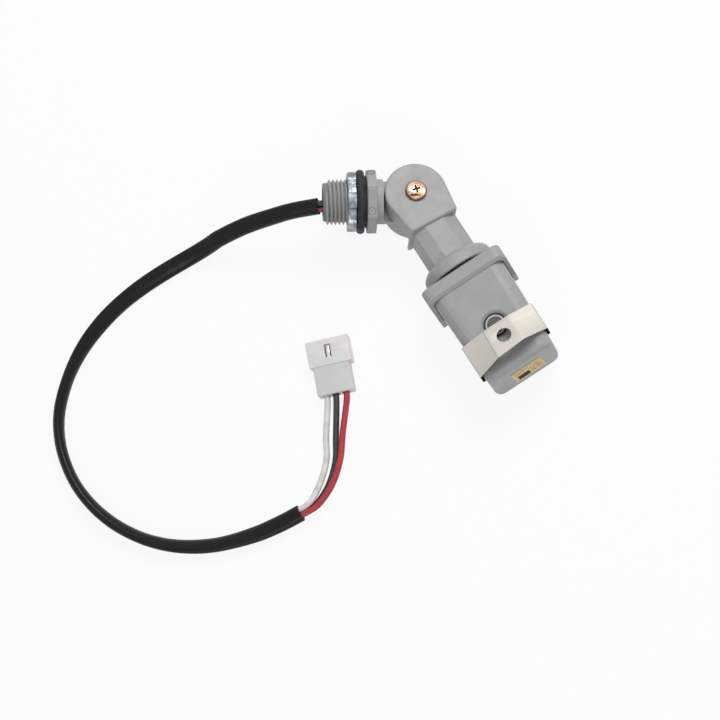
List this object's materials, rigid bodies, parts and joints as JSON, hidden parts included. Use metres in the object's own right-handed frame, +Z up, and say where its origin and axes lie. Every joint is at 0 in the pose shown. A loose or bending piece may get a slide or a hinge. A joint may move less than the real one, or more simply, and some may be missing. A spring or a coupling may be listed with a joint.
{
  "type": "photocell switch",
  "caption": "Dusk switch: a box-shaped light-sensing head with a sliding shield, on a tilting, turning arm with a threaded nipple and a corded plug.",
  "frame": {"origin": "on the table, under the middle of the rigid parts, measured without the cord, its wires and its plug", "axes": "+Z up from the table, the way the lens looks; -Y from the swivel to the lens end of the head; +X across the head, away from the nipple"},
  "size_m": [0.229, 0.1446, 0.0403],
  "materials": {
    "nipple_body": "fine moulded satin",
    "gasket": "matt",
    "locknut": "bright zinc plate",
    "pivot_nut": "bright zinc plate",
    "lock_washer": "bright zinc plate",
    "pivot_screw": "copper-coloured plate",
    "swivel_arm": "fine moulded satin",
    "retaining_ring": "plain",
    "swivel_seal": "matt",
    "head_cap": "fine moulded satin",
    "head_body": "fine moulded satin",
    "lens": "dark and polished",
    "lens_seal": "matt",
    "light_shield": "brushed stainless",
    "rating_label": "printed film",
    "circuit_board": "green laminate",
    "photo_sensor": "lacquered",
    "relay": "moulded",
    "film_capacitor": "moulded",
    "can_capacitor": "sleeved",
    "varistor": "dipped",
    "dropper_resistor": "lacquered",
    "diode_1": "moulded",
    "diode_2": "moulded",
    "board_lead_white": "insulation",
    "board_lead_black": "insulation",
    "board_lead_red": "insulation",
    "cord_sleeve": "smooth flexible sleeve",
    "lead_white": "insulation",
    "lead_black": "insulation",
    "lead_red": "insulation",
    "wire_white": "insulation",
    "wire_black": "insulation",
    "wire_red": "insulation",
    "connector_housing": "natural nylon",
    "terminal_white": "tinned brass",
    "terminal_black": "tinned brass",
    "terminal_red": "tinned brass"
  },
  "bodies": {
    "nipple": {"nipple_body": "nipple_body", "gasket": "gasket", "pivot_nut": "pivot_nut", "lock_washer": "lock_washer", "cord_sleeve": "cord_sleeve", "lead_white": "lead_white", "lead_black": "lead_black", "lead_red": "lead_red", "wire_white": "wire_white", "wire_black": "wire_black", "wire_red": "wire_red", "connector_housing": "connector_housing", "terminal_white": "terminal_white", "terminal_black": "terminal_black", "terminal_red": "terminal_red"},
    "locknut": {"locknut": "locknut"},
    "arm": {"swivel_arm": "swivel_arm", "pivot_screw": "pivot_screw", "retaining_ring": "retaining_ring"},
    "head": {"swivel_seal": "swivel_seal", "head_cap": "head_cap", "head_body": "head_body", "lens": "lens", "lens_seal": "lens_seal", "rating_label": "rating_label", "circuit_board": "circuit_board", "photo_sensor": "photo_sensor", "relay": "relay", "film_capacitor": "film_capacitor", "can_capacitor": "can_capacitor", "varistor": "varistor", "dropper_resistor": "dropper_resistor", "diode_1": "diode_1", "diode_2": "diode_2", "board_lead_white": "board_lead_white", "board_lead_black": "board_lead_black", "board_lead_red": "board_lead_red"},
    "shield": {"light_shield": "light_shield"}
  },
  "joints": [
    {"name": "knuckle_tilt", "type": "hinge", "parent": "nipple", "child": "arm", "pos_m": [0.00974, 0.03424, 0.017], "axis": [0.2974, 0, 0.9548], "range_deg": [-28.5, 151.3]},
    {"name": "head_turn", "type": "hinge", "parent": "arm", "child": "head", "pos_m": [0.00974, 0.03424, 0.017], "axis": [0, -1, 0], "range_deg": [-150, 150]},
    {"name": "shield_slide", "type": "slide", "parent": "head", "child": "shield", "axis": [0, -1, 0], "range_m": [-0.009, 0.0035]},
    {"name": "locknut_turn", "type": "hinge", "parent": "nipple", "child": "locknut", "pos_m": [-0.02094, 0.05176, 0.02656], "axis": [-0.8383, 0.4787, 0.2611], "continuous": true}
  ]
}
